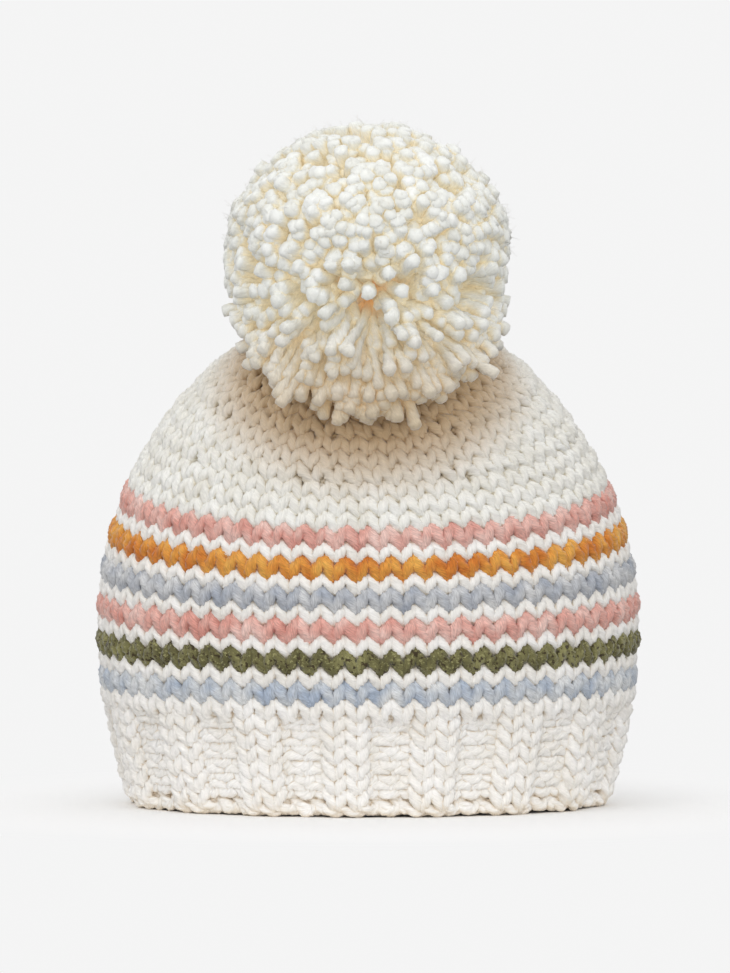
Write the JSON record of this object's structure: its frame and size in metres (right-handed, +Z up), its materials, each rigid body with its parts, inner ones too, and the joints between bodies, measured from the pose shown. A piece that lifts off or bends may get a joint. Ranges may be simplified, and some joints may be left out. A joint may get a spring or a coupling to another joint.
{
  "type": "knitted pom pom beanie",
  "caption": "Chunky hand-knitted hat standing on its ribbed hem, striped in soft colours, with a large yarn pom tied to its leaning crown.",
  "frame": {"origin": "centre of the head opening, in the plane of the hem", "axes": "+Z up to the crown, +X across the hat's width, -Y to the front, towards which the crown leans"},
  "size_m": [0.213, 0.1736, 0.2671],
  "materials": {
    "cream_wool": "plied bulky wool, matt, slightly fuzzy",
    "light_blue_wool": "plied bulky wool, matt",
    "olive_wool": "plied bulky tweed wool, matt",
    "pink_wool": "plied bulky wool, matt",
    "grey_blue_wool": "plied bulky wool, matt",
    "mustard_wool": "plied bulky wool, matt",
    "yarn_ends": "cut ends of the coloured yarns, matt",
    "pom_wool": "cut bulky wool strands, matt, fluffy"
  },
  "bodies": {
    "hat": {"cast_on_edge": "cream_wool", "rib_band": "cream_wool", "plain_course": "cream_wool", "light_blue_stripe": "light_blue_wool", "cream_course_1": "cream_wool", "olive_stripe": "olive_wool", "cream_course_2": "cream_wool", "lower_pink_stripe": "pink_wool", "cream_course_3": "cream_wool", "grey_blue_stripe": "grey_blue_wool", "cream_course_4": "cream_wool", "mustard_stripe": "mustard_wool", "cream_course_5": "cream_wool", "upper_pink_stripe": "pink_wool", "crown": "cream_wool", "crown_gather": "cream_wool", "woven_ends": "yarn_ends", "anchor_yarn": "cream_wool", "anchor_knot": "cream_wool", "anchor_tails": "cream_wool"},
    "neck": {"neck_knot": "cream_wool"},
    "pom": {"pom_tie": "cream_wool", "pom_strands": "pom_wool"}
  },
  "joints": [
    {"name": "pom_nod", "type": "hinge", "parent": "hat", "child": "neck", "pos_m": [0, -0.03208, 0.19387], "axis": [1, 0, 0], "range_deg": [-15, 5], "stiffness_Nm_per_rad": 0.09, "springref_deg": -4.58},
    {"name": "pom_sway", "type": "hinge", "parent": "neck", "child": "pom", "pos_m": [0, -0.03208, 0.19387], "axis": [0, 0.8979, 0.4402], "range_deg": [-10, 10], "stiffness_Nm_per_rad": 0.09}
  ]
}
